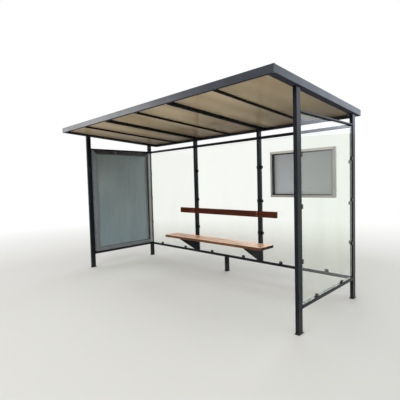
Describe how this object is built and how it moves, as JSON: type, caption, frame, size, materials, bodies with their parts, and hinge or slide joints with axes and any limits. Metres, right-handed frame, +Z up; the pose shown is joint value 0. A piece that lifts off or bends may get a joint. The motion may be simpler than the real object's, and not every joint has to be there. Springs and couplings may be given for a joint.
{
  "type": "bus shelter",
  "caption": "Free-standing bus shelter with a sloping sheet roof on a steel tube frame, glazed back and right side, a poster case, a notice case and a timber bench.",
  "frame": {"origin": "on the ground under the middle of the roof's outline", "axes": "+X along the shelter to the right as seen from the open front, +Y towards the glazed back, +Z up"},
  "size_m": [4.28, 1.9998, 2.5296],
  "materials": {
    "frame_paint": "dark grey gloss powder coat on steel tube",
    "pane_glass": "clear toughened glass",
    "roof_sheet": "bronze tinted glossy twin-wall plastic sheet",
    "poster_frame": "grey satin powder coat on aluminium profile",
    "notice_frame": "satin anodised aluminium profile",
    "case_cover": "clear safety glass cover",
    "case_panel": "plain grey backing panel, bare",
    "seat_timber": "varnished hardwood, worn pale on top",
    "backrest_timber": "dark varnished hardwood"
  },
  "bodies": {
    "root": {"back_glass_left": "pane_glass", "back_glass_middle": "pane_glass", "back_glass_right": "pane_glass", "back_lower_rail": "frame_paint", "back_upper_rail_left": "frame_paint", "back_upper_rail_middle": "frame_paint", "back_upper_rail_right": "frame_paint", "backrest_board": "backrest_timber", "backrest_pads": "frame_paint", "bench_brackets": "frame_paint", "foot_plates": "frame_paint", "glass_clamps": "frame_paint", "left_lower_rail": "frame_paint", "left_upper_rail": "frame_paint", "light_rafters": "frame_paint", "main_rafters": "frame_paint", "middle_leg": "frame_paint", "mullion_left": "frame_paint", "mullion_right": "frame_paint", "notice_case_backing": "case_panel", "notice_case_cover": "case_cover", "notice_case_frame": "notice_frame", "notice_case_spacers": "notice_frame", "post_back_left": "frame_paint", "post_back_right": "frame_paint", "post_front_left": "frame_paint", "post_front_right": "frame_paint", "poster_case_back": "case_panel", "poster_case_backing": "case_panel", "poster_case_cover": "case_cover", "poster_case_frame": "poster_frame", "right_glass": "pane_glass", "right_lower_rail": "frame_paint", "right_upper_rail": "frame_paint", "roof_back_beam": "frame_paint", "roof_cleats": "frame_paint", "roof_cover_strips": "frame_paint", "roof_front_beam": "frame_paint", "roof_left_beam": "frame_paint", "roof_right_beam": "frame_paint", "roof_sheet_left": "roof_sheet", "roof_sheet_middle": "roof_sheet", "roof_sheet_right": "roof_sheet", "seat_slats": "seat_timber", "sheet_ledges": "frame_paint"}
  },
  "joints": []
}
